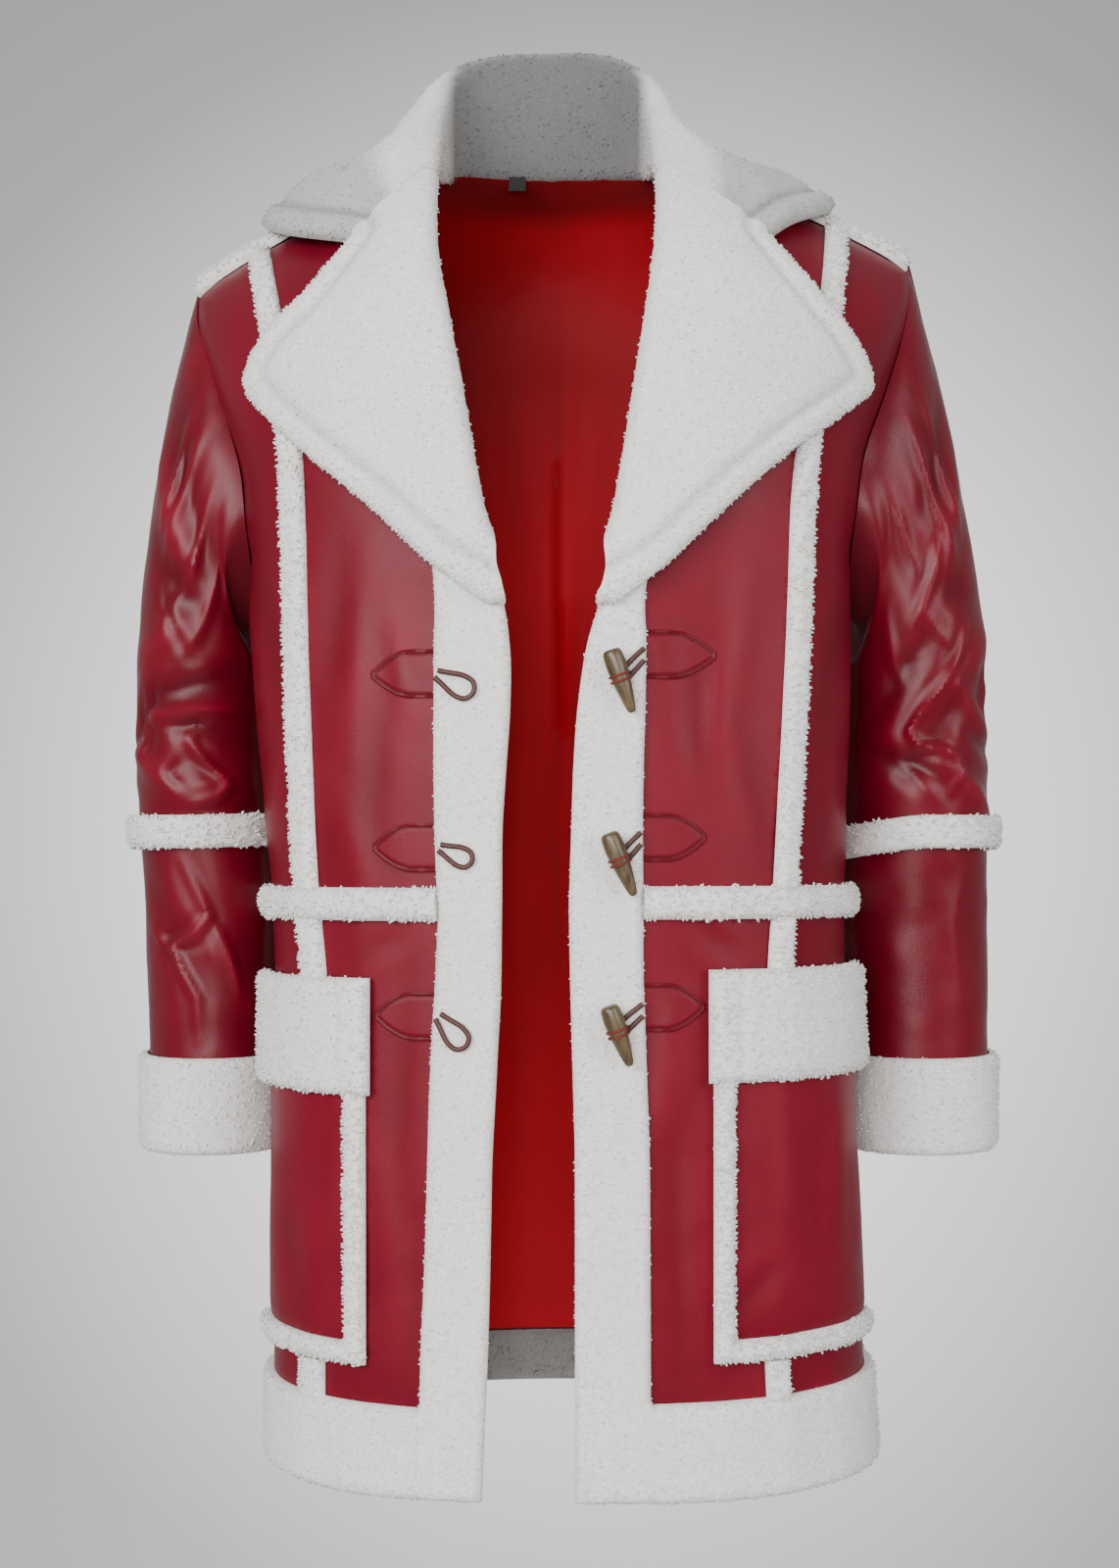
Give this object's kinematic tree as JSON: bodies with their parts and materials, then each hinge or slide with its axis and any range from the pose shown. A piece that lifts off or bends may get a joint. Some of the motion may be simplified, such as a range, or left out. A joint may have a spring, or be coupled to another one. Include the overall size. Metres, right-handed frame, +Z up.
{
  "type": "leather coat",
  "caption": "Mid-thigh leather coat with shearling collar, lapels, plackets, cuffs and hem, patch pockets and toggle fastenings, open at the front and filled out as worn.",
  "frame": {"origin": "middle of the neck base, where the wearer's shoulders and neck hold the coat up", "axes": "+Z up along the coat, -Y out of the open front, +X towards the wearer's left, which carries the toggles"},
  "size_m": [0.6349, 0.3367, 1.0028],
  "materials": {
    "red_leather": "fine grained, dyed crimson, satin sheen",
    "white_shearling": "short dense white pile",
    "red_lining": "satin lining cloth",
    "brown_thong": "thin round leather cord",
    "horn": "brown horn, smooth with a dull shine",
    "black_tab": "woven tape"
  },
  "bodies": {
    "root": {"back_lower": "red_leather", "back_upper": "red_leather", "collar": "white_shearling", "cuff_left": "white_shearling", "cuff_right": "white_shearling", "elbow_band_left": "white_shearling", "elbow_band_right": "white_shearling", "front_left_lower": "red_leather", "front_left_upper": "red_leather", "front_right_lower": "red_leather", "front_right_upper": "red_leather", "hem_back": "white_shearling", "hem_facing_back": "white_shearling", "hem_front_left": "white_shearling", "hem_front_right": "white_shearling", "lapel_left": "white_shearling", "lapel_right": "white_shearling", "lining_back": "red_lining", "loop_right_1": "brown_thong", "loop_right_2": "brown_thong", "loop_right_3": "brown_thong", "neck_tab": "black_tab", "placket_left": "white_shearling", "placket_right": "white_shearling", "pocket_bag_left": "red_leather", "pocket_bag_right": "red_leather", "pocket_flap_left": "white_shearling", "pocket_flap_right": "white_shearling", "pocket_trim_left": "white_shearling", "pocket_trim_right": "white_shearling", "shoulder_strip_left": "white_shearling", "shoulder_strip_right": "white_shearling", "sleeve_left_lower": "red_leather", "sleeve_left_upper": "red_leather", "sleeve_right_lower": "red_leather", "sleeve_right_upper": "red_leather", "strip_left_foot": "white_shearling", "strip_left_lower": "white_shearling", "strip_left_upper": "white_shearling", "strip_right_foot": "white_shearling", "strip_right_lower": "white_shearling", "strip_right_upper": "white_shearling", "toggle_1": "horn", "toggle_2": "horn", "toggle_3": "horn", "toggle_patch_left_1": "red_leather", "toggle_patch_left_2": "red_leather", "toggle_patch_left_3": "red_leather", "toggle_patch_right_1": "red_leather", "toggle_patch_right_2": "red_leather", "toggle_patch_right_3": "red_leather", "toggle_thong_1": "brown_thong", "toggle_thong_2": "brown_thong", "toggle_thong_3": "brown_thong", "waist_back": "white_shearling", "waist_front_left": "white_shearling", "waist_front_right": "white_shearling"}
  },
  "joints": []
}
